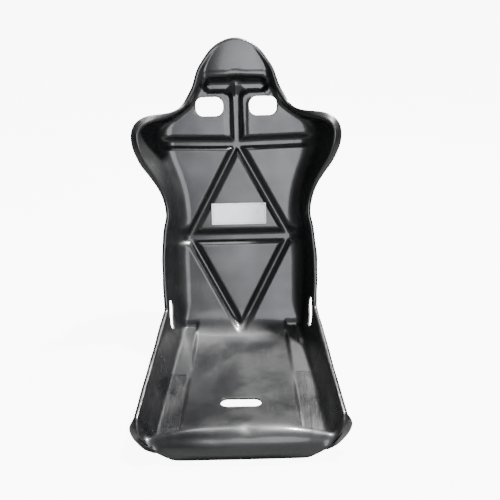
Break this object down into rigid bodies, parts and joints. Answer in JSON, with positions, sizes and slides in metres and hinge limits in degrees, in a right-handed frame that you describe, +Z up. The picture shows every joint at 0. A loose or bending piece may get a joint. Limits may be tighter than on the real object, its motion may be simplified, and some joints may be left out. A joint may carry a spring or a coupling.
{
  "type": "racing seat",
  "caption": "One-piece moulded bucket seat shell for a harness, with rolled rim, ribbed back, strap slots and mounting bars bonded under the base pads.",
  "frame": {"origin": "centre of the footprint, at the level of the undersides of the mounting bar covers and the front lip", "axes": "+Z up, -Y the way the sitter faces, +X to the sitter's left"},
  "size_m": [0.5308, 0.7158, 0.7465],
  "materials": {
    "gelcoat": "black pigmented gelcoat, semi-gloss, over chopped glass mat",
    "glass_mat": "bare chopped-strand glass mat in black resin, unsanded",
    "bonding_paste": "cured filled resin",
    "zinc_steel": "zinc plated",
    "label_film": "blank printed film"
  },
  "bodies": {
    "root": {"seat_shell": "gelcoat", "left_bonding_bed": "bonding_paste", "left_mounting_bar": "zinc_steel", "left_bar_cover": "glass_mat", "left_front_nut": "zinc_steel", "left_rear_nut": "zinc_steel", "right_bonding_bed": "bonding_paste", "right_mounting_bar": "zinc_steel", "right_bar_cover": "glass_mat", "right_front_nut": "zinc_steel", "right_rear_nut": "zinc_steel", "back_label": "label_film"}
  },
  "joints": []
}
